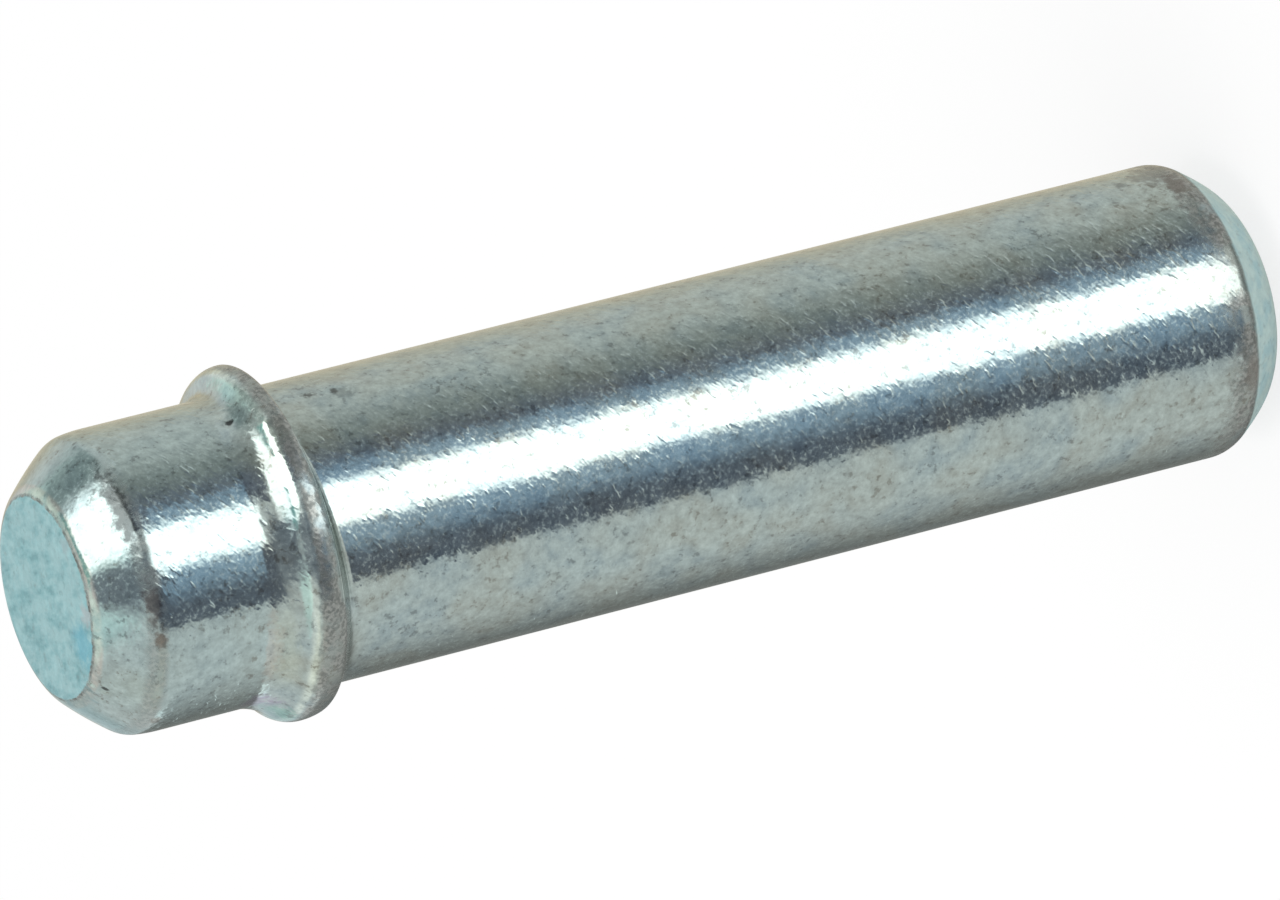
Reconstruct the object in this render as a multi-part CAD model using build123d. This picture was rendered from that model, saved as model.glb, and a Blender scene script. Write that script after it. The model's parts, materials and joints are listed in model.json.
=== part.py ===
from build123d import *
import os
from math import acos, cos, degrees, radians, sin

# Drive pin: one piece of round bar with a collar upset near its pilot end and both ends eased.
# It stands on its foot, the long plain end: Z = 0 is the foot's flat face and +Z runs along the axis.
# Lengths are in millimetres. A slope is the angle between the skin and the axis, in degrees.

# Body
overall_length = 44.0
shaft_diameter = 10.0
pilot_diameter = 10.05
pilot_length = 7.7  # from the pilot's end face to the widest line of the collar

# Foot: a domed edge, a slightly crowned lead-in and a rounded shoulder
foot_dome_radius = 2.5
foot_crown_radius = 6.5
foot_crown_slope = 46.5  # where the dome turns into the lead-in
foot_shoulder_radius = 1.15
foot_shoulder_slope = 36.0  # where the lead-in turns into the shoulder

# Collar: steep towards the shaft, and drawn out into the pilot in one flowing curve
collar_diameter = 11.9
collar_front_radius = 0.7
pilot_fillet_radius = 1.4
collar_crown_radius = 0.9  # from the widest line back towards the shaft
collar_crown_slope = 22.0  # where the crown turns into the back edge
collar_edge_radius = 0.3
collar_flank_slope = 62.0
shaft_fillet_radius = 0.35

# Pilot end: a long gentle run-in, a shoulder, a conical lead-in and a rounded edge
pilot_run_in_radius = 5.0
pilot_run_in_slope = 8.0  # where the run-in turns into the shoulder
pilot_shoulder_radius = 0.9
pilot_cone_slope = 40.5
pilot_cone_length = 1.58  # along the skin
pilot_edge_radius = 0.87

shaft_radius = shaft_diameter / 2
pilot_radius = pilot_diameter / 2
collar_radius = collar_diameter / 2
collar_height = overall_length - pilot_length


def arc_rise(radius, steep, gentle=0.0):
    """How far an arc between two slopes runs along the axis."""
    return radius * (sin(radians(steep)) - sin(radians(gentle)))


def arc_reach(radius, steep, gentle=0.0):
    """How far an arc between two slopes runs across the axis."""
    return radius * (cos(radians(gentle)) - cos(radians(steep)))


def bend(before, radius, turn):
    """An arc that carries on smoothly from the edge before it: inwards, or outwards for a turn below zero."""
    return JernArc(before @ 1, before % 1, radius, turn)


def carry_on(before, length):
    """A straight line that carries on smoothly from the edge before it."""
    return Line(before @ 1, before @ 1 + (before % 1) * length)


def foot_end():
    """From the axis across the flat face, up the dome and the lead-in to the plain shaft."""
    flat_radius = (
        shaft_radius
        - arc_reach(foot_dome_radius, 90, foot_crown_slope)
        - arc_reach(foot_crown_radius, foot_crown_slope, foot_shoulder_slope)
        - arc_reach(foot_shoulder_radius, foot_shoulder_slope)
    )
    flat = Line((0, 0), (flat_radius, 0))
    dome = bend(flat, foot_dome_radius, 90 - foot_crown_slope)
    lead_in = bend(dome, foot_crown_radius, foot_crown_slope - foot_shoulder_slope)
    return bend(lead_in, foot_shoulder_radius, foot_shoulder_slope)


def collar(shoulder):
    """From the foot's shoulder up the plain shaft and over the collar to the pilot."""
    back_arcs = (
        (shaft_fillet_radius, collar_flank_slope, 0),
        (collar_edge_radius, collar_flank_slope, collar_crown_slope),
        (collar_crown_radius, collar_crown_slope, 0),
    )
    flank_reach = collar_radius - shaft_radius - sum(arc_reach(*arc) for arc in back_arcs)
    flank_length = flank_reach / sin(radians(collar_flank_slope))
    flank_rise = flank_length * cos(radians(collar_flank_slope))
    back_height = flank_rise + sum(arc_rise(*arc) for arc in back_arcs)
    shaft = Line(shoulder @ 1, (shaft_radius, collar_height - back_height))
    shaft_fillet = bend(shaft, shaft_fillet_radius, -collar_flank_slope)
    flank = carry_on(shaft_fillet, flank_length)
    back_edge = bend(flank, collar_edge_radius, collar_flank_slope - collar_crown_slope)
    crown = bend(back_edge, collar_crown_radius, collar_crown_slope)
    # the front and the pilot's fillet meet where their slopes agree
    front_share = (collar_radius - pilot_radius) / (collar_front_radius + pilot_fillet_radius)
    front_slope = degrees(acos(1 - front_share))
    front = bend(crown, collar_front_radius, front_slope)
    return bend(front, pilot_fillet_radius, -front_slope)


def pilot_end(pilot_fillet):
    """From the collar's fillet along the pilot, over its lead-in and across the flat face to the axis."""
    end_rise = (
        arc_rise(pilot_run_in_radius, pilot_run_in_slope)
        + arc_rise(pilot_shoulder_radius, pilot_cone_slope, pilot_run_in_slope)
        + pilot_cone_length * cos(radians(pilot_cone_slope))
        + arc_rise(pilot_edge_radius, 90, pilot_cone_slope)
    )
    pilot = Line(pilot_fillet @ 1, (pilot_radius, overall_length - end_rise))
    run_in = bend(pilot, pilot_run_in_radius, pilot_run_in_slope)
    shoulder = bend(run_in, pilot_shoulder_radius, pilot_cone_slope - pilot_run_in_slope)
    cone = carry_on(shoulder, pilot_cone_length)
    edge = bend(cone, pilot_edge_radius, 90 - pilot_cone_slope)
    return Line(edge @ 1, (0, overall_length))


with BuildPart() as pin:
    with BuildSketch(Plane.XZ):
        with BuildLine():
            end_face = pilot_end(collar(foot_end()))
            Line(end_face @ 1, (0, 0))
        make_face()
    revolve(axis=Axis.Z)
pin.part.label = "drive_pin"

os.makedirs("parts", exist_ok=True)
export_step(pin.part, "parts/drive_pin.step")
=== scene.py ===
import json
from math import acos, ceil, cos, degrees, pi, radians, sin, tan

import bpy
from mathutils import Matrix, Vector


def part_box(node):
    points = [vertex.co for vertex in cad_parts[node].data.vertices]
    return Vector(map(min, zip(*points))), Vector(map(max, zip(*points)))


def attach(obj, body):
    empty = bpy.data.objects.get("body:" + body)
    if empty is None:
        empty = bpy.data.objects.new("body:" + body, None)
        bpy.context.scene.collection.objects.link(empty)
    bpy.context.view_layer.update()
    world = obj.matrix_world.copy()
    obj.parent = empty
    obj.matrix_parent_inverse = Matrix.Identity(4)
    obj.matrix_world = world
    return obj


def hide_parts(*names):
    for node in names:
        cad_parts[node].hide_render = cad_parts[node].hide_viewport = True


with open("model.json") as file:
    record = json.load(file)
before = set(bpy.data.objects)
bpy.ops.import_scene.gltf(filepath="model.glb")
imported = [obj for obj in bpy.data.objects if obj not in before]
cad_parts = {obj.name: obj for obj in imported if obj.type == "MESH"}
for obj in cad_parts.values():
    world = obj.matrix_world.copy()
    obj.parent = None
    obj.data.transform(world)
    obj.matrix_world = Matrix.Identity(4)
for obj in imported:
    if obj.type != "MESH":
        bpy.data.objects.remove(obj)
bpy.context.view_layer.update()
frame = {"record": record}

# Lengths are in millimetres and angles in degrees, until mm and radians() turn them into Blender's
# metres and radians. Heights run up from the foot's flat face. Azimuth runs round the axis, from the
# -Y side at 0 towards +X at 90. A slope is the angle between the skin and the axis. A band is four
# places: where something opens, is full, stops being full and has shut.
mm = 0.001

# The pin's main sizes, from the frame
mounts = {mount["name"]: mount["dims"] for mount in frame["record"]["mounts"]}
pin_low, pin_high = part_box("drive_pin")
overall_length = (pin_high.z - pin_low.z) / mm
collar_radius = pin_high.x / mm
shaft_radius = mounts["shaft"]["r_mm"]
pilot_radius = mounts["pilot"]["r_mm"]
pilot_length = 7.7  # from the pilot's end face to the collar's widest line
collar_height = overall_length - pilot_length

# Foot
foot_dome_radius = 2.5
foot_crown_radius = 6.5
foot_crown_slope = 46.5
foot_shoulder_radius = 1.15
foot_shoulder_slope = 36.0

# Collar
collar_front_radius = 0.7
pilot_fillet_radius = 1.4
collar_crown_radius = 0.9
collar_crown_slope = 22.0
collar_edge_radius = 0.3
collar_flank_slope = 62.0
shaft_fillet_radius = 0.35

# Pilot end
pilot_run_in_radius = 5.0
pilot_run_in_slope = 8.0
pilot_shoulder_radius = 0.8
pilot_shoulder_slope = 36.2
pilot_crown_radius = 13.2  # the cone stands out a little in its middle
pilot_crown_slope = 43.8
pilot_edge_radius = 0.87

# How the skin is divided: the longest steps from one ring to the next
sides = 340
skin_step = 0.13  # round a bend and up the collar's flank
straight_step = 0.3  # across the foot and up the shaft
pilot_step = 0.2  # up the pilot and across its face
bend_step = 5.0  # degrees turned
end_step = 0.04  # the first ring of a straight stretch, so that a bend beside it stays crisp
weld_distance = 0.0005  # closes the seam and the two poles

# How unevenly the collar was upset
uneven_reach = 1.2  # it is uneven all the way to this far from its widest line
uneven_fading = 2.2  # and even again from this many times as far
collar_lean = 0.26  # how far the lean lifts and drops the rim
lean_azimuth = -25.0  # the side that leans towards the pilot's end
thick_azimuth = -90.0  # the side where the collar is thick and its front gentle
front_lengthening = (0.15, 0.05)  # all round, and as much more on the thick side
back_lengthening = (-0.08, 0.53)
rim_shortfall = 0.08  # how much less the rim stands out on its thick side
tight_azimuth = 115.0  # the side where the front is steep and its fillet tight
tight_spread = (0.3, 0.95)  # the cosines of the angle from there, where this starts and is full
tight_band = (0.38, 1.1, 1.25, 3.0)  # above the widest line, in times the uneven reach
tightening = 0.45

# How far the foot's dome stands out of its nominal outline, and the band of heights where it does
foot_fullness = 0.065
foot_dome_band = (0.0, 0.32, 0.5, 1.6)

# Dents and burrs: height of the ring that they lie on, azimuth, reach, and depth below the skin, or
# above it for a depth below zero
nicks = (
    (collar_height + 1.14, 51.5, 0.30, 0.06),  # in the pilot's fillet
    (collar_height + 0.40, 40.5, 0.26, -0.04),  # on the collar's crest
    (collar_height + 0.10, -48.0, 0.40, 0.04),  # across the rim
    (collar_height - 2.35, 58.5, 0.32, 0.015),  # two on the shaft, close together
    (collar_height - 2.85, 56.0, 0.36, 0.015),
    (overall_length - 0.28, -62.0, 0.40, -0.05),  # burrs on the pilot's edge
    (overall_length - 0.38, -70.0, 0.30, -0.03),
    (1.95, 10.0, 0.55, -0.03),  # a lump on the foot's shoulder
)
nick_bottom = 0.1  # the share of its reach within which a nick is at its deepest

# The attribute that keeps each ring's height from before the collar was made uneven, in millimetres
height_name = "ring_height"


class Wire:
    """One output of a node, or only a tree to start in. Arithmetic on it adds Math nodes."""

    def __init__(self, tree, socket=None):
        self.tree = tree
        self.socket = socket

    def node(self, kind, settings=None, inputs=None, output=0):
        """Adds any node: its settings first, then the values or wires of its inputs.

        Gives a wire from one of its outputs, or None for a tree's last node, which has none."""
        made = self.tree.nodes.new(kind)
        for name, value in (settings or {}).items():
            setattr(made, name, value)
        for key, value in (inputs or {}).items():
            if isinstance(value, Wire):
                self.tree.links.new(value.socket, made.inputs[key])
            else:
                made.inputs[key].default_value = value
        return Wire(self.tree, made.outputs[output]) if made.outputs else None

    def beside(self, output):
        """Another output of the node that this wire leaves."""
        return Wire(self.tree, self.socket.node.outputs[output])

    def maths(self, operation, *others):
        """One Math node, with this wire as its first input."""
        return self.node("ShaderNodeMath", {"operation": operation}, dict(enumerate((self, *others))))

    def __add__(self, other):
        return self.maths("ADD", other)

    def __sub__(self, other):
        return self.maths("SUBTRACT", other)

    def __rsub__(self, other):
        return self.node("ShaderNodeMath", {"operation": "SUBTRACT"}, {0: other, 1: self})

    def __mul__(self, other):
        return self.maths("MULTIPLY", other)

    def __truediv__(self, other):
        return self.maths("DIVIDE", other)

    __radd__ = __add__
    __rmul__ = __mul__


def fade(value, start, end, top=1.0):
    """0 at start and top at end, smoothly; start may be the larger."""
    inputs = {"Value": value, "From Min": start, "From Max": end, "To Max": top}
    return value.node("ShaderNodeMapRange", {"interpolation_type": "SMOOTHSTEP"}, inputs)


def window(value, opens, full, holds, shuts):
    """1 within a band and 0 outside it."""
    return fade(value, opens, full) * fade(value, shuts, holds)


def tinted(factor, colour, other):
    """colour where the factor is 0 and other where it is 1."""
    # a Mix node takes its two colours at inputs 6 and 7 and gives one at output 2
    named = {0: factor}
    for key, value in ((6, colour), (7, other)):
        named[key] = value if isinstance(value, Wire) else (*value, 1.0)
    return factor.node("ShaderNodeMix", {"data_type": "RGBA"}, named, output=2)


def scaled(vector, factor):
    """A vector times one number, or times three."""
    if isinstance(factor, tuple):
        return vector.node("ShaderNodeVectorMath", {"operation": "MULTIPLY"}, {0: vector, 1: factor})
    return vector.node("ShaderNodeVectorMath", {"operation": "SCALE"}, {0: vector, "Scale": factor})


def split(vector):
    """The three numbers of a vector."""
    x = vector.node("ShaderNodeSeparateXYZ", {}, {0: vector})
    return x, x.beside(1), x.beside(2)


def joined(x, y, z=0.0):
    """A vector from three numbers."""
    return x.node("ShaderNodeCombineXYZ", {}, {0: x, 1: y, 2: z})


def noise(vector, scale, detail, roughness=0.5):
    """Cloudy noise from 0 to 1, with features about 1 / scale across."""
    inputs = {"Vector": vector, "Scale": scale, "Detail": detail, "Roughness": roughness}
    return vector.node("ShaderNodeTexNoise", {}, inputs)


def how_far(x, y):
    """How far off a place is that lies x away one way and y away the other."""
    return (x * x + y * y).maths("SQRT")


def round_the_axis(x, y):
    """Azimuth in degrees, and the distance from the axis."""
    azimuth = x.maths("ARCTAN2", y * -1.0) * degrees(1.0)
    return azimuth, how_far(x, y)


def round_the_shaft(azimuth):
    """How far round the shaft's skin an azimuth is, in millimetres."""
    return azimuth * radians(shaft_radius)


# ---------------------------------------------------------------- the turned and upset pin


def arc_rise(radius, steep, gentle=0.0):
    """How far an arc between two slopes runs along the axis."""
    return radius * (sin(radians(steep)) - sin(radians(gentle)))


def arc_reach(radius, steep, gentle=0.0):
    """How far an arc between two slopes runs across the axis."""
    return radius * (cos(radians(gentle)) - cos(radians(steep)))


class Outline:
    """The pin's outline, walked from the middle of its foot to the middle of its pilot face.

    Its points are (distance from the axis, height). A heading of 0 runs outwards and 90 runs up."""

    def __init__(self):
        self.points = [Vector((0.0, 0.0))]
        self.heading = 0.0

    def bend(self, radius, turn):
        """A smooth arc towards the axis, or away from it for a turn below zero."""
        steps = ceil(max(abs(turn) / bend_step, radius * radians(abs(turn)) / skin_step))
        corner = self.points[-1].copy()
        start = radians(self.heading)
        signed_radius = radius if turn > 0 else -radius
        for step in range(1, steps + 1):
            angle = start + radians(turn) * step / steps
            across = sin(angle) - sin(start)
            along = cos(start) - cos(angle)
            self.points.append(corner + signed_radius * Vector((across, along)))
        self.heading += turn

    def straight(self, length, longest_step=straight_step):
        """A straight stretch, with a ring close to each of its ends."""
        way = Vector((cos(radians(self.heading)), sin(radians(self.heading))))
        corner = self.points[-1].copy()
        inner = length - 2 * end_step
        steps = ceil(inner / longest_step)
        for at in [end_step + inner * step / steps for step in range(steps + 1)] + [length]:
            self.points.append(corner + at * way)


def walk_foot(outline):
    """Across the foot's flat, up its dome and lead-in and round its shoulder."""
    outline.straight(
        shaft_radius
        - arc_reach(foot_dome_radius, 90, foot_crown_slope)
        - arc_reach(foot_crown_radius, foot_crown_slope, foot_shoulder_slope)
        - arc_reach(foot_shoulder_radius, foot_shoulder_slope)
    )
    outline.bend(foot_dome_radius, 90 - foot_crown_slope)
    outline.bend(foot_crown_radius, foot_crown_slope - foot_shoulder_slope)
    outline.bend(foot_shoulder_radius, foot_shoulder_slope)


def walk_collar(outline):
    """Up the plain shaft and over the collar to the start of the plain pilot."""
    back_arcs = (
        (shaft_fillet_radius, collar_flank_slope, 0),
        (collar_edge_radius, collar_flank_slope, collar_crown_slope),
        (collar_crown_radius, collar_crown_slope, 0),
    )
    flank_reach = collar_radius - shaft_radius - sum(arc_reach(*arc) for arc in back_arcs)
    flank_length = flank_reach / sin(radians(collar_flank_slope))
    flank_rise = flank_reach / tan(radians(collar_flank_slope))
    back_height = flank_rise + sum(arc_rise(*arc) for arc in back_arcs)
    outline.straight(collar_height - back_height - outline.points[-1].y)
    outline.bend(shaft_fillet_radius, -collar_flank_slope)
    outline.straight(flank_length, skin_step)
    outline.bend(collar_edge_radius, collar_flank_slope - collar_crown_slope)
    outline.bend(collar_crown_radius, collar_crown_slope)
    # the front and the pilot's fillet meet where their slopes agree
    front_share = (collar_radius - pilot_radius) / (collar_front_radius + pilot_fillet_radius)
    front_slope = degrees(acos(1 - front_share))
    outline.bend(collar_front_radius, front_slope)
    outline.bend(pilot_fillet_radius, -front_slope)


def walk_pilot(outline):
    """Along the plain pilot, over its lead-in and across its face to the axis."""
    end_rise = (
        arc_rise(pilot_run_in_radius, pilot_run_in_slope)
        + arc_rise(pilot_shoulder_radius, pilot_shoulder_slope, pilot_run_in_slope)
        + arc_rise(pilot_crown_radius, pilot_crown_slope, pilot_shoulder_slope)
        + arc_rise(pilot_edge_radius, 90, pilot_crown_slope)
    )
    outline.straight(overall_length - end_rise - outline.points[-1].y, pilot_step)
    outline.bend(pilot_run_in_radius, pilot_run_in_slope)
    outline.bend(pilot_shoulder_radius, pilot_shoulder_slope - pilot_run_in_slope)
    outline.bend(pilot_crown_radius, pilot_crown_slope - pilot_shoulder_slope)
    outline.bend(pilot_edge_radius, 90 - pilot_crown_slope)
    outline.straight(outline.points[-1].x, pilot_step)


def pin_outline():
    """The outline as a chain of vertices in the XZ plane, in metres."""
    outline = Outline()
    walk_foot(outline)
    walk_collar(outline)
    walk_pilot(outline)
    places = [(abs(point.x) * mm, 0.0, point.y * mm) for point in outline.points]
    links = [(number, number + 1) for number in range(len(places) - 1)]
    mesh = bpy.data.meshes.new("pin_outline")
    mesh.from_pydata(places, links, [])
    piece = bpy.data.objects.new("plated_pin_outline", mesh)
    bpy.context.scene.collection.objects.link(piece)
    return piece


def named_inputs(tree, sizes):
    """Gives a tree one input for each size, and returns their identifiers by name."""
    identifiers = {}
    for name, value in sizes.items():
        kind = "NodeSocketInt" if isinstance(value, int) else "NodeSocketFloat"
        identifiers[name] = tree.interface.new_socket(name, in_out="INPUT", socket_type=kind).identifier
    return identifiers


def turned_grid(given, size):
    """A grid of one vertex for each ring and side, and where each belongs: radius, height and angle.

    The grid counts up the outline first, then round the axis."""
    counts = {"Vertices X": size["Sides"] + 1, "Vertices Y": size["Rings"]}
    grid = given.node("GeometryNodeMeshGrid", {}, counts)
    index = given.node("GeometryNodeInputIndex")
    side = (index / size["Rings"]).maths("FLOOR")
    ring = index - side * size["Rings"]
    sampled = {"Geometry": given, "Value": given.node("GeometryNodeInputPosition"), "Index": ring}
    on_outline = given.node("GeometryNodeSampleIndex", {"data_type": "FLOAT_VECTOR"}, sampled)
    radius, _, height = split(on_outline)
    return grid, radius, height, side / size["Sides"] * (2 * pi)


def collar_lift(size, height, angle):
    """How far up the uneven collar lies from the even one: it leans, and is thicker on one side."""
    above_rim = height - size["Collar Height"]
    reach = size["Uneven Reach"]
    share = fade(above_rim.maths("ABSOLUTE"), reach * uneven_fading, reach)
    lean = (angle - size["Lean Azimuth"]).maths("COSINE") * size["Collar Lean"]
    thick = (angle - size["Thick Azimuth"]).maths("COSINE")
    in_front = above_rim.maths("GREATER_THAN", 0.0)
    front = size["Front Lengthening"] + thick * size["Front Thickening"]
    back = size["Back Lengthening"] + thick * size["Back Thickening"]
    lift = (lean + above_rim * (front * in_front + back * (1 - in_front))) * share
    tight_side = fade((angle - size["Tight Azimuth"]).maths("COSINE"), *tight_spread)
    fillet = window(above_rim, *(reach * times for times in tight_band))
    return lift - tight_side * fillet * size["Tightening"]


def rim_loss(size, radius, angle):
    """How much less the uneven rim stands out than the even one."""
    stands_out = fade(radius, size["Shaft Radius"], size["Collar Radius"])
    thick_share = ((angle - size["Thick Azimuth"]).maths("COSINE") + 1) * 0.5
    return stands_out * thick_share * size["Rim Shortfall"]


def moved(shape, offset):
    """A shape with each of its vertices moved by an offset."""
    return shape.node("GeometryNodeSetPosition", {}, {"Geometry": shape, "Offset": offset})


def placed(shape, place):
    """A shape with each of its vertices put in a place."""
    return shape.node("GeometryNodeSetPosition", {}, {"Geometry": shape, "Position": place})


def finely_uneven(shape, size):
    """Fills the foot's dome and nicks the skin, and keeps both end faces flat."""
    attribute = {"data_type": "FLOAT"}
    height = shape.node("GeometryNodeInputNamedAttribute", attribute, {"Name": height_name})
    normal = shape.node("GeometryNodeInputNormal")
    x, y, z = split(shape.node("GeometryNodeInputPosition"))
    azimuth, _ = round_the_axis(x, y)
    fullness = window(height, *foot_dome_band) * size["Foot Fullness"]
    shape = moved(shape, scaled(normal, fullness))
    for nick_height, nick_azimuth, reach, depth in nicks:
        away = how_far(height - nick_height, round_the_shaft(azimuth - nick_azimuth))
        pressed = fade(away, reach, nick_bottom * reach) * (-depth * mm)
        shape = moved(shape, scaled(normal, pressed))
    level = z.maths("MAXIMUM", 0.0).maths("MINIMUM", size["Overall Length"])
    return placed(shape, joined(x, y, level))


def upset_tree(sizes, finish):
    """Turns an outline round the axis, then leans and thickens its collar and nicks its skin."""
    tree = bpy.data.node_groups.new("turned_and_upset", "GeometryNodeTree")
    tree.interface.new_socket("Outline", in_out="INPUT", socket_type="NodeSocketGeometry")
    identifiers = named_inputs(tree, sizes)
    tree.interface.new_socket("Pin", in_out="OUTPUT", socket_type="NodeSocketGeometry")
    given = Wire(tree).node("NodeGroupInput")
    size = {name: given.beside(name) for name in sizes}

    grid, radius, height, angle = turned_grid(given, size)
    radius = radius - rim_loss(size, radius, angle)
    x = radius * angle.maths("SINE")
    y = radius * angle.maths("COSINE") * -1.0
    shape = placed(grid, joined(x, y, height + collar_lift(size, height, angle)))
    stored = {"Geometry": shape, "Name": height_name, "Value": height / mm}
    shape = given.node("GeometryNodeStoreNamedAttribute", {"data_type": "FLOAT"}, stored)
    welded = {"Geometry": shape, "Distance": weld_distance * mm}
    shape = given.node("GeometryNodeMergeByDistance", {}, welded)
    shape = finely_uneven(shape, size)

    shape = given.node("GeometryNodeSetShadeSmooth", {}, {"Geometry": shape})
    shape = given.node("GeometryNodeRealizeInstances", {}, {"Geometry": shape})
    shape = given.node("GeometryNodeSetMaterial", {}, {"Geometry": shape, "Material": finish})
    given.node("NodeGroupOutput", {}, {"Pin": shape})
    return tree, identifiers


def plated_pin(finish):
    """The pin with its collar as it was upset, as one plain mesh in place of the nominal solid."""
    piece = pin_outline()
    sizes = {
        "Sides": sides,
        "Rings": len(piece.data.vertices),
        "Overall Length": overall_length * mm,
        "Collar Height": collar_height * mm,
        "Collar Radius": collar_radius * mm,
        "Shaft Radius": shaft_radius * mm,
        "Uneven Reach": uneven_reach * mm,
        "Collar Lean": collar_lean * mm,
        "Lean Azimuth": radians(lean_azimuth),
        "Thick Azimuth": radians(thick_azimuth),
        "Front Lengthening": front_lengthening[0],
        "Front Thickening": front_lengthening[1],
        "Back Lengthening": back_lengthening[0],
        "Back Thickening": back_lengthening[1],
        "Rim Shortfall": rim_shortfall * mm,
        "Tight Azimuth": radians(tight_azimuth),
        "Tightening": tightening * mm,
        "Foot Fullness": foot_fullness * mm,
    }
    tree, identifiers = upset_tree(sizes, finish)
    modifier = piece.modifiers.new("upset", "NODES")
    modifier.node_group = tree
    for name, value in sizes.items():
        modifier[identifiers[name]] = value
    evaluated = piece.evaluated_get(bpy.context.evaluated_depsgraph_get())
    mesh = bpy.data.meshes.new_from_object(evaluated)
    piece.modifiers.remove(modifier)
    bpy.data.objects.remove(piece)
    pin = bpy.data.objects.new("plated_pin", mesh)
    bpy.context.scene.collection.objects.link(pin)
    return pin


# ---------------------------------------------------------------- zinc plate


def measured_from(datum, *steps):
    """The places that lie these steps past a datum."""
    return tuple(datum + step for step in steps)


# Colours of the barrels
bluish_plate = (0.305, 0.390, 0.405)
greenish_plate = (0.352, 0.392, 0.355)
mottled_plate = (0.340, 0.405, 0.385)
pilot_plate = (0.335, 0.425, 0.420)
bluish_speck = (0.11, 0.13, 0.13)
brownish_speck = (0.145, 0.140, 0.115)

# Colours of the pilot's face and of the foot's end
dark_cyan = (0.12, 0.27, 0.29)
deep_cyan = (0.205, 0.382, 0.405)
light_cyan = (0.290, 0.465, 0.482)
foot_blue = (0.370, 0.550, 0.570)
foot_green = (0.440, 0.570, 0.550)

# Colours of the edges and of the stains on them, and of a painted reflection: a pale line along the
# collar's crest
painted_crest_reflection = (0.56, 0.64, 0.58)
beige_edge = (0.44, 0.41, 0.36)
pale_stain = (0.266, 0.272, 0.252)
dark_stain = (0.116, 0.120, 0.110)
brown = (0.155, 0.140, 0.120)
dark_grey = (0.070, 0.080, 0.075)
nearly_black = (0.02, 0.02, 0.02)

# Where the finish changes on the way up the pin: bands, and pairs where a change starts and is full
foot_end_edge = (1.86, 1.70)
foot_end_line = (1.68, 1.76, 1.84, 1.98)
foot_shoulder_band = (1.5, 1.7, 2.3, 3.2)
coarse_foot = (12.0, 4.0)
rim_stain_starts = measured_from(collar_height, -1.05, -0.85)
rim_stain_ends = measured_from(collar_height, 0.38, 0.22)
# where the painted reflection along the collar's crest lies
crest_reflection_band = measured_from(collar_height, 0.32, 0.41, 0.48, 0.60)
coarse_pilot = measured_from(collar_height, 0.2, 1.2)
pilot_tint_starts = measured_from(collar_height, 1.2, 2.2)
# the pilot's shoulder band: partly stain, partly a painted dark reflection
pilot_shoulder_stain_and_painted_reflection = measured_from(overall_length, -2.10, -1.85, -1.50, -1.25)
dabs_start = measured_from(overall_length, -0.8, -2.0)
face_starts = measured_from(overall_length, -1.0, -0.6)

# And on the way out from the axis
face_radius = 3.38
face_edge = measured_from(face_radius, 0.04, -0.04)
face_line = measured_from(face_radius, -0.05, 0.00, 0.04, 0.12)
beige_band = measured_from(face_radius, 0.02, 0.10, 0.28, 0.38)
rim_starts = measured_from(shaft_radius, 0.15, 0.45)

# And round it
bare_side = (-40.0, -20.0, 30.0, 48.0)  # here the rim's stain leaves the back of the crown bare
bare_width = 0.65  # of the part left bare, along the axis
glossy_side = (-4.0, 4.0, 16.0, 22.0)  # here the foot's shoulder is less stained
glossy_share = 0.6  # by this much
darkened_shoulder_side = (60.0, 30.0)  # the pilot's shoulder is left plain from the first, and darkened up to the second by stain and by a painted dark reflection

fleck_stretch = (1.0, 0.5, 1.0)  # flecks on the face are drawn out one way

# The cloudy patterns: where in its noise each starts and is full
greenish_clouds = (0.38, 0.62)
mottles = (0.32, 0.58)
face_mottles = (0.36, 0.62)
face_flecks = (0.41, 0.30)
stain_speckles = (0.36, 0.62)
dull_specks = (0.50, 0.70)
dark_specks = (0.56, 0.66)
speck_clusters = (0.62, 0.42)
brownish_clusters = (0.45, 0.60)
faint_dabs = (0.40, 0.74)
high_dabs = (0.62, 0.78)

# How strongly the colours are laid on, and the cloudy mottling from each of its three noises
pilot_tint_strength = 0.6
fleck_strength = 0.6
foot_line_strength = 0.45
speck_strength = 0.60
ragged_clouds = 0.55
patchy_clouds = 0.45
grainy_clouds = 0.3
calm_ends = 0.5  # how much less the ends are mottled
clean_ends = 0.6  # and speckled

# What each part of the finish adds to the barrels' roughness, and takes off a metallic 1
barrel_roughness = 0.11
mottled_roughness = 0.02
speck_roughness = 0.14
end_roughness = 0.35
stain_roughness = 0.17
end_dullness = 0.5
stain_dullness = 0.42

# The grain's heights, in micrometres
micrometre = 1e-6
peel_height = 4.0
wave_height = 6.0
faint_dab_height = 2.8
high_dab_height = 4.2  # on top of the faint one
dab_fineness = (2.3, 2.3, 5.2)  # along each axis, before the dabs are turned aslant
dab_slant = 33.0
pilot_coarseness = 0.4  # how much coarser the grain is on the pilot
foot_coarseness = 0.25  # and towards the foot
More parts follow.
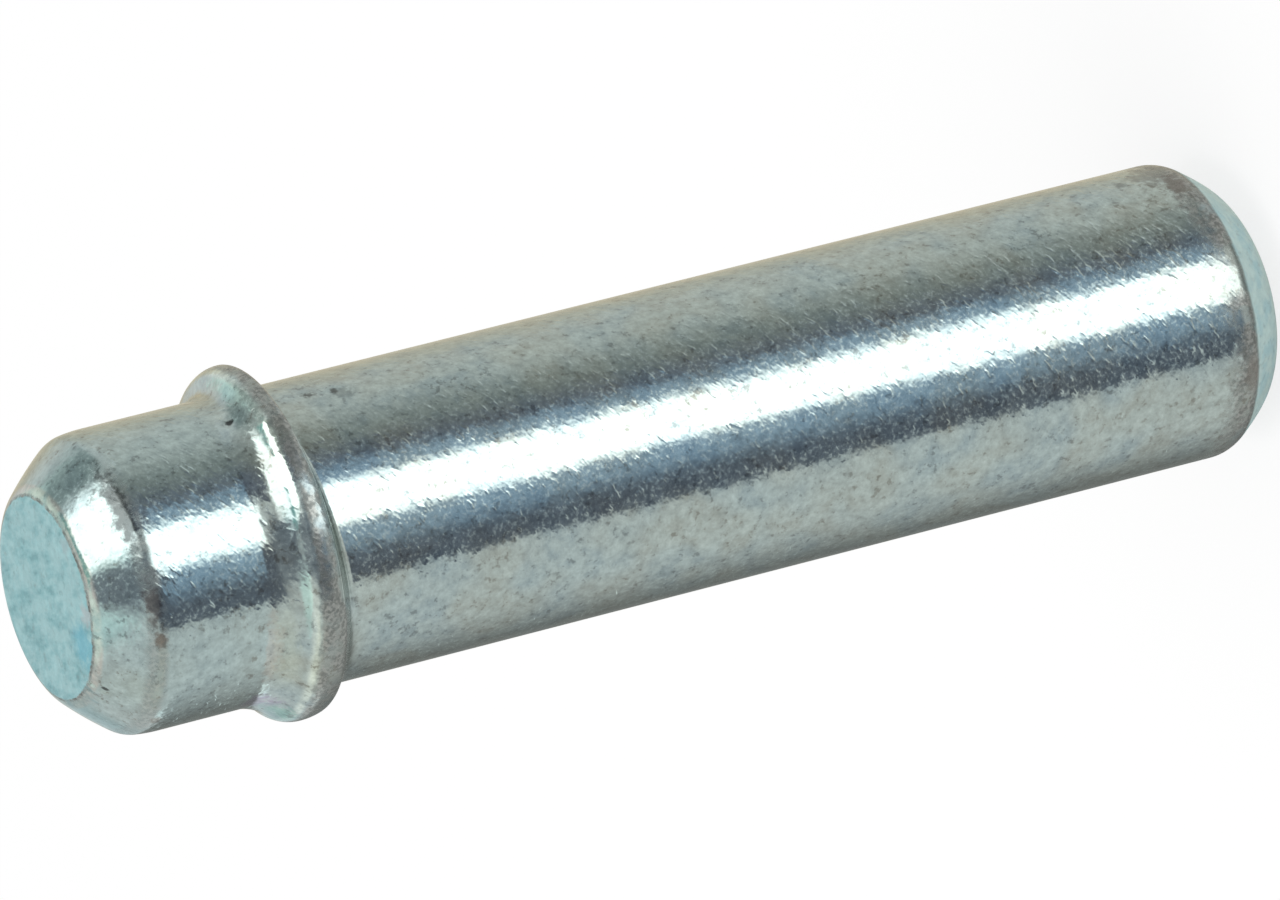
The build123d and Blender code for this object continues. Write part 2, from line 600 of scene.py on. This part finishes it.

# Stained and tinted places, and painted dark reflections: height, azimuth, length along the axis, width
# round it, colour, strength
patches = (
    (collar_height - 2.18, 58.5, 0.30, 0.35, dark_grey, 0.9),  # the dents on the shaft
    (collar_height - 2.75, 57.5, 0.30, 0.40, dark_grey, 0.9),
    (collar_height - 3.00, 54.5, 0.8, 0.7, dark_grey, 0.35),
    (collar_height + 1.14, 51.5, 0.3, 0.3, nearly_black, 0.9),  # the dent in the pilot's fillet
    (4.03, 64.0, 0.5, 0.5, dark_grey, 0.6),  # a spot on the shaft near the foot
    (2.6, 68.0, 2.2, 2.8, (0.16, 0.165, 0.145), 0.6),  # the foot's shoulder, at the side
    (2.35, 55.0, 1.0, 1.5, brown, 0.7),
    (2.0, -32.0, 0.7, 1.8, brown, 0.6),
    (overall_length - 1.55, 27.0, 0.62, 3.8, (0.08, 0.09, 0.09), 0.8),  # the pilot's shoulder: this one is a painted dark reflection over its highlight, the next partly so, the two after them brown stain
    (overall_length - 1.65, -12.0, 0.55, 1.6, (0.15, 0.14, 0.13), 0.8),
    (overall_length - 1.75, -27.0, 0.5, 0.7, brown, 0.9),
    (overall_length - 2.00, -70.0, 0.5, 0.5, brown, 0.7),
    (overall_length - 0.45, -58.0, 0.2, 0.2, nearly_black, 0.8),  # beside the burr
    (collar_height + 1.60, -42.0, 0.9, 3.0, (0.46, 0.44, 0.39), 0.4),  # beige
    (collar_height + 1.60, -76.0, 1.6, 1.4, (0.33, 0.27, 0.40), 0.5),  # violet
    (collar_height + 0.66, -83.0, 0.8, 1.2, (0.25, 0.47, 0.38), 0.5),  # green
    (collar_height + 1.40, 92.0, 1.0, 1.4, (0.45, 0.41, 0.25), 0.4),  # straw
    (overall_length - 0.90, 54.0, 0.8, 1.2, (0.16, 0.21, 0.24), 0.25),  # a painted dark reflection beside the cone's highlight, dark blue-grey
)
patch_fray = 2.2  # how far the edge of a patch wanders, in times its half size
patch_edge = (1.1, 0.45)  # where it starts and is full, from its middle and in times the same

# Tints on the pilot's face: place across it, size, colour, strength
face_patches = (
    (-1.75, -2.15, 1.6, (0.12, 0.37, 0.46), 0.75),  # bright blue
    (-0.85, -3.05, 0.9, (0.40, 0.43, 0.44), 0.7),  # lavender grey
    (1.5, -2.8, 0.7, (0.30, 0.38, 0.40), 0.5),  # slate
)
face_patch_fray = 2.0
face_patch_edge = (1.2, 0.3)


def empty_tree(owner):
    """Clears the tree of a material or a world, and gives a wire to start it with."""
    owner.use_nodes = True
    owner.node_tree.nodes.clear()
    return Wire(owner.node_tree)


class Skin:
    """Where a point lies on the pin, and the cloudy patterns that the parts of its finish share."""

    def __init__(self, start):
        self.place = scaled(start.node("ShaderNodeTexCoord", output="Object"), 1 / mm)
        self.x, self.y, _ = split(self.place)
        self.azimuth, self.radius = round_the_axis(self.x, self.y)
        self.height = start.node("ShaderNodeAttribute", {"attribute_name": height_name}, output="Fac")
        self.unrolled = joined(self.height, round_the_shaft(self.azimuth))

        self.broad = noise(self.place, scale=0.45, detail=1.0)
        self.patchy = noise(self.place, scale=1.6, detail=3.0, roughness=0.6)
        self.ragged = noise(self.place, scale=3.2, detail=3.0, roughness=0.65) - 0.5
        self.grain = noise(self.place, scale=8.0, detail=1.0)
        self.mottled = fade(self.patchy, *mottles)

        on_face = fade(self.height, *face_starts)
        self.pilot_face = fade(self.frayed(self.radius, width=0.12), *face_edge) * on_face
        self.face_line = window(self.frayed(self.radius, width=0.16), *face_line) * on_face
        self.edge_strip = window(self.radius, *beige_band) * on_face
        self.foot_end = fade(self.frayed(self.height, width=0.10), *foot_end_edge)
        self.ends = self.pilot_face.maths("MAXIMUM", self.foot_end)
        # stains, which on the pilot's shoulder are partly a painted dark reflection
        self.stain_and_painted_dark_band = self.stains_and_painted_dark_band()

    def frayed(self, value, width):
        """A height or distance with ragged noise on it, so that a line drawn by it wanders in a width."""
        return value + self.ragged * width

    def mottling(self, least, most):
        """A strength that goes from least to most with the mottled pattern."""
        return self.mottled * (most - least) + least

    def patch(self, height, azimuth, length, width, strength):
        """The strength in the middle of a ragged patch and 0 outside it."""
        sizes = (2 / length, 2 / width, 0)
        offset = (-height * sizes[0], -round_the_shaft(azimuth) * sizes[1], 0)
        inputs = {0: self.unrolled, 1: sizes, 2: offset}
        away = self.place.node("ShaderNodeVectorMath", {"operation": "MULTIPLY_ADD"}, inputs)
        reach = away.node("ShaderNodeVectorMath", {"operation": "LENGTH"}, {0: away}, "Value")
        return fade(self.frayed(reach, patch_fray), *patch_edge, strength)

    def stains_and_painted_dark_band(self):
        """Where edges are dull and carry stains: the rim, both shoulders and a fine line round the face.
        On the pilot's shoulder it is partly a painted dark reflection.
        """
        wavy = self.frayed(self.height, width=0.35)
        bare = window(self.azimuth, *bare_side) * bare_width
        rim = fade(wavy - bare, *rim_stain_starts) * fade(wavy, *rim_stain_ends)
        rim = rim * fade(self.radius, *rim_starts) * self.mottling(0.3, 0.85)
        # on the pilot's shoulder the stain is partly a painted dark reflection that takes the highlight
        # off it
        shoulder_stain_and_painted_reflection = window(wavy, *pilot_shoulder_stain_and_painted_reflection) * fade(self.azimuth, *darkened_shoulder_side)
        shoulder_stain_and_painted_reflection = shoulder_stain_and_painted_reflection * self.mottling(0.05, 0.50)
        glossy = window(self.azimuth, *glossy_side) * glossy_share
        foot_shoulder = window(self.frayed(self.height, width=1.6), *foot_shoulder_band)
        foot_shoulder = foot_shoulder * (1 - self.foot_end) * self.mottling(0.2, 0.95) * (1 - glossy)
        return (rim + shoulder_stain_and_painted_reflection + foot_shoulder + self.face_line * self.mottled).maths("MINIMUM", 1.0)

    def barrel_colour(self):
        """Pale grey-green in soft patches, and a little bluer on the pilot."""
        colour = tinted(fade(self.broad, *greenish_clouds), bluish_plate, greenish_plate)
        colour = tinted(self.mottling(0.2, 0.7), colour, mottled_plate)
        return tinted(fade(self.height, *pilot_tint_starts) * pilot_tint_strength, colour, pilot_plate)

    def face_colour(self):
        """Cyan with darker flecks and a few tints, on the pilot's face."""
        flecked = noise(scaled(self.place, fleck_stretch), scale=2.4, detail=3.0, roughness=0.6)
        colour = tinted(fade(flecked, *face_mottles), deep_cyan, light_cyan)
        colour = tinted(fade(flecked, *face_flecks, fleck_strength), colour, dark_cyan)
        for patch_x, patch_y, size, patch_colour, strength in face_patches:
            away = how_far(self.x - patch_x, self.y - patch_y) * (2 / size)
            share = fade(self.frayed(away, face_patch_fray), *face_patch_edge) * strength
            colour = tinted(share, colour, patch_colour)
        return colour

    def with_edges(self, colour):
        """A colour with the lines along the edges, the stains on them, and a painted reflection: a pale
        line along the collar's crest.
        """
        foot_line = window(self.frayed(self.height, width=0.10), *foot_end_line)
        colour = tinted(foot_line * foot_line_strength, colour, dark_grey)
        colour = tinted(self.edge_strip * self.mottling(0.15, 0.65), colour, beige_edge)
        speckled = tinted(fade(self.grain, *stain_speckles), pale_stain, dark_stain)
        # the stains, on the pilot's shoulder partly a painted dark reflection
        colour = tinted(self.stain_and_painted_dark_band, colour, speckled)
        # a painted reflection: a pale, mottled line along the collar's crest
        crest = window(self.frayed(self.height, width=0.12), *crest_reflection_band)
        return tinted(crest * self.mottling(0.35, 0.70), colour, painted_crest_reflection)

    def with_specks(self, colour):
        """A colour with cloudy mottling, and soft dark specks in loose clusters, some brownish."""
        clouds = self.ragged * ragged_clouds + (self.patchy - 0.5) * patchy_clouds
        clouds = clouds + (self.grain - 0.5) * grainy_clouds
        colour = scaled(colour, clouds * (1 - self.ends * calm_ends) + 1.0)
        fine = noise(self.place, scale=3.6, detail=3.0, roughness=0.65)
        specks = fade(fine, *dark_specks, speck_strength) * fade(self.patchy, *speck_clusters)
        specks = specks * (1 - self.ends * clean_ends)
        speck_colour = tinted(fade(self.broad, *brownish_clusters), bluish_speck, brownish_speck)
        return tinted(specks, colour, speck_colour)

    def colour(self):
        """Pale grey-green plate with cyan ends, brown stains and dark specks, and painted reflections: a
        pale line along the collar's crest and dark patches on the pilot's shoulder and cone.
        """
        colour = tinted(self.pilot_face, self.barrel_colour(), self.face_colour())
        colour = tinted(self.foot_end, colour, tinted(self.mottled, foot_blue, foot_green))
        colour = self.with_edges(colour)
        for *where, patch_colour, strength in patches:
            colour = tinted(self.patch(*where, strength), colour, patch_colour)
        return self.with_specks(colour)

    def relief(self):
        """Height of the grain in micrometres: orange peel, dabs that lie aslant, and low waves."""
        peel = noise(self.place, scale=4.5, detail=1.0) * peel_height
        waves = noise(self.place, scale=1.3, detail=0.0) * wave_height
        aslant = {"Vector": self.place, "Angle": radians(dab_slant)}
        turned = self.place.node("ShaderNodeVectorRotate", {"rotation_type": "Y_AXIS"}, aslant)
        dabbed = noise(scaled(turned, dab_fineness), scale=1.0, detail=1.0)
        dabs = fade(dabbed, *faint_dabs, faint_dab_height) + fade(dabbed, *high_dabs, high_dab_height)
        dabs = dabs * self.mottling(0.65, 1.15) * fade(self.height, *dabs_start)
        pilot_share = fade(self.height, *coarse_pilot, pilot_coarseness)
        foot_share = fade(self.height, *coarse_foot, foot_coarseness)
        return (peel + dabs) * (pilot_share + foot_share + 1.0) + waves


def zinc_plate():
    """Blue-passivated zinc on steel: bright barrels, matte ends, dull brown stains on the edges, and a few
    painted reflections in its colour.
    """
    material = bpy.data.materials.new("blue_passivated_zinc")
    start = empty_tree(material)
    skin = Skin(start)
    roughness = (
        barrel_roughness
        + skin.mottled * mottled_roughness
        + fade(skin.grain, *dull_specks, speck_roughness)
        + skin.ends * end_roughness
        + skin.stain_and_painted_dark_band * stain_roughness
    )
    metallic = 1.0 - (skin.ends * end_dullness).maths("MAXIMUM", skin.stain_and_painted_dark_band * stain_dullness)
    bump = {"Distance": micrometre, "Height": skin.relief()}
    normal = start.node("ShaderNodeBump", {}, bump)
    surface = {"Base Color": skin.colour(), "Metallic": metallic, "Roughness": roughness, "Normal": normal}
    shader = start.node("ShaderNodeBsdfPrincipled", {}, surface)
    start.node("ShaderNodeOutputMaterial", {}, {"Surface": shader})
    return material


# ---------------------------------------------------------------- studio

# What the metal mirrors, each laid over those before it: colour and strength, then its bands of
# azimuth and elevation
screens = (
    ((0.74, 0.67, 0.52), (100, 165, 200, 210), (-70, -40, -10, 12)),  # warm wall
    ((0.74, 0.67, 0.52), (-210, -200, -178, -166), (-70, -40, -10, 12)),  # and on past the back
    ((0.24, 0.25, 0.24), (-180, -171, -156, -88), (-70, -50, -20, -14)),  # dark behind the pin
    ((0.60, 0.63, 0.62), (-110, -70, 70, 110), (-95, -94, -68, -50)),  # dim floor in front
    ((0.62, 0.74, 0.76), (-180, -168, -156, -138), (-20, -14, 16, 40)),  # cool wall at the back
    ((1.5, 1.6, 1.6), (-140, -134, -124, -116), (-18, -16, -12, -8)),  # low window at the back
    ((1.10, 1.06, 0.98), (-130, -95, -70, -38), (-12, 8, 18, 42)),  # warm glow on the left
    ((1.08, 1.28, 1.22), (116, 130, 160, 176), (12, 22, 56, 66)),  # pale teal ceiling on the right
    ((1.15, 1.36, 1.32), (-176, -150, -50, -30), (46, 56, 90, 92)),  # and on the left
    ((0.45, 0.80, 0.77), (8, 20, 116, 128), (42, 52, 88, 91)),  # teal round the window
    ((0.91, 0.90, 0.87), (60, 84, 112, 134), (-34, -28, -18, -10)),  # pale ledge on the right
    ((0.44, 0.45, 0.43), (30, 34, 64, 100), (-34, -28, 30, 38)),  # dark below the window
    ((0.26, 0.27, 0.33), (30, 34, 46, 70), (-34, -28, 26, 34)),  # its darker edge
    ((0.205, 0.22, 0.275), (-46, -44, -2, 2), (-35, -28, 16, 28)),  # flag on the left
    ((0.34, 0.36, 0.41), (-48, -24, 10, 26), (4, 26, 62, 80)),  # flag above it
    ((0.45, 0.51, 0.51), (80, 108, 118, 146), (0, 22, 30, 54)),  # grey wall beside the window
    ((3.2, 3.2, 3.2), (12, 32, 84, 106), (32, 38, 66, 72)),  # window
    ((0.54, 0.69, 0.88), (-31, -10, 38, 50), (-32, -28, -16, -8)),  # blue edge of the table
    ((3.6, 3.6, 3.6), (-5, 3, 26, 35), (-52, -44, -4, 10)),  # bright table
)
room_colour = (1.0, 1.0, 1.0)
plain_light = 0.62  # what matte surfaces get from all round

floor_half_width = 600.0
floor_grey = 0.9
floor_glow = 0.8  # how much of the floor's own shading is hidden under plain white

lamp_size = 500.0
lamp_watts = 3.2
lamp_place = (-100.0, -100.0, 700.0)

lens_length = 443.56
camera_elevation = 24.298
camera_roll = -104.24
camera_aim = (-0.0811, 0.0050, 0.3225)  # from the middle of the pin
camera_distance = 516.5
camera_clips = (10.0, 10000.0)  # the nearest and the farthest that it sees


def grey(level):
    """A neutral colour for a socket: 1 is white."""
    return (level, level, level, 1.0)


def studio_world():
    """A pale room with a window, a bright table and dark flags, all mirrored by the metal."""
    world = bpy.data.worlds.new("studio")
    bpy.context.scene.world = world
    start = empty_tree(world)
    world.cycles.sampling_method = "NONE"  # it lights by what rays meet, and not as a lamp
    x, y, z = split(start.node("ShaderNodeTexCoord", output="Generated"))
    azimuth, _ = round_the_axis(x, y)
    elevation = z.maths("ARCSINE") * degrees(1.0)
    room = room_colour
    for colour, azimuths, elevations in screens:
        room = tinted(window(azimuth, *azimuths) * window(elevation, *elevations), room, colour)
    ray = start.node("ShaderNodeLightPath", output="Is Glossy Ray")
    seen = ray.beside("Is Camera Ray") + ray.beside("Is Transmission Ray")
    mirrored = start.node("ShaderNodeBackground", {}, {"Color": room})
    plain = start.node("ShaderNodeBackground", {}, {"Color": grey(plain_light)})
    white = start.node("ShaderNodeBackground", {}, {"Color": grey(1.0)})
    light = start.node("ShaderNodeMixShader", {}, {0: ray, 1: plain, 2: mirrored})
    light = start.node("ShaderNodeMixShader", {}, {0: seen, 1: light, 2: white})
    start.node("ShaderNodeOutputWorld", {}, {"Surface": light})


def white_paper():
    """A matte floor under plain white, so that only a faint shadow shows on it."""
    material = bpy.data.materials.new("white_paper")
    start = empty_tree(material)
    matte = start.node("ShaderNodeBsdfDiffuse", {}, {"Color": grey(floor_grey)})
    glow = start.node("ShaderNodeEmission", {}, {"Color": grey(1.0), "Strength": 1.0})
    ray = start.node("ShaderNodeLightPath", output="Is Camera Ray")
    seen = (ray + ray.beside("Is Glossy Ray") + ray.beside("Is Transmission Ray")).maths("MINIMUM", 1.0)
    paper = start.node("ShaderNodeMixShader", {}, {0: seen * floor_glow, 1: matte, 2: glow})
    start.node("ShaderNodeOutputMaterial", {}, {"Surface": paper})
    return material


def white_floor():
    """A white floor that keeps a faint, soft shadow of the pin."""
    half = floor_half_width * mm
    corners = [(-half, -half, 0), (half, -half, 0), (half, half, 0), (-half, half, 0)]
    mesh = bpy.data.meshes.new("floor")
    mesh.from_pydata(corners, [], [(0, 1, 2, 3)])
    mesh.materials.append(white_paper())
    floor = bpy.data.objects.new("floor", mesh)
    bpy.context.scene.collection.objects.link(floor)
    floor.visible_glossy = False  # the metal mirrors the room's own floor


def soft_lamp():
    """One wide lamp overhead, for the soft shadow on the floor. It looks at the foot."""
    lamp = bpy.data.lights.new("overhead_lamp", "AREA")
    lamp.size = lamp_size * mm
    lamp.energy = lamp_watts
    holder = bpy.data.objects.new("overhead_lamp", lamp)
    holder.location = Vector(lamp_place) * mm
    holder.rotation_euler = (-holder.location).to_track_quat("-Z", "Y").to_euler()
    holder.visible_glossy = False
    bpy.context.scene.collection.objects.link(holder)


def camera():
    """A long lens from the front and above, rolled so that the pin lies across the frame."""
    data = bpy.data.cameras.new("camera")
    data.lens = lens_length
    data.clip_start, data.clip_end = (clip * mm for clip in camera_clips)
    holder = bpy.data.objects.new("camera", data)
    middle = Vector((0, 0, overall_length / 2))
    holder.matrix_world = (
        Matrix.Translation((middle + Vector(camera_aim)) * mm)
        @ Matrix.Rotation(radians(90 - camera_elevation), 4, "X")
        @ Matrix.Translation((0, 0, camera_distance * mm))
        @ Matrix.Rotation(radians(camera_roll), 4, "Z")
    )
    bpy.context.scene.collection.objects.link(holder)
    bpy.context.scene.camera = holder


pin = plated_pin(zinc_plate())
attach(pin, "root")
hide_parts("drive_pin")

studio_world()
white_floor()
soft_lamp()
camera()
bpy.context.scene.view_settings.view_transform = "Standard"
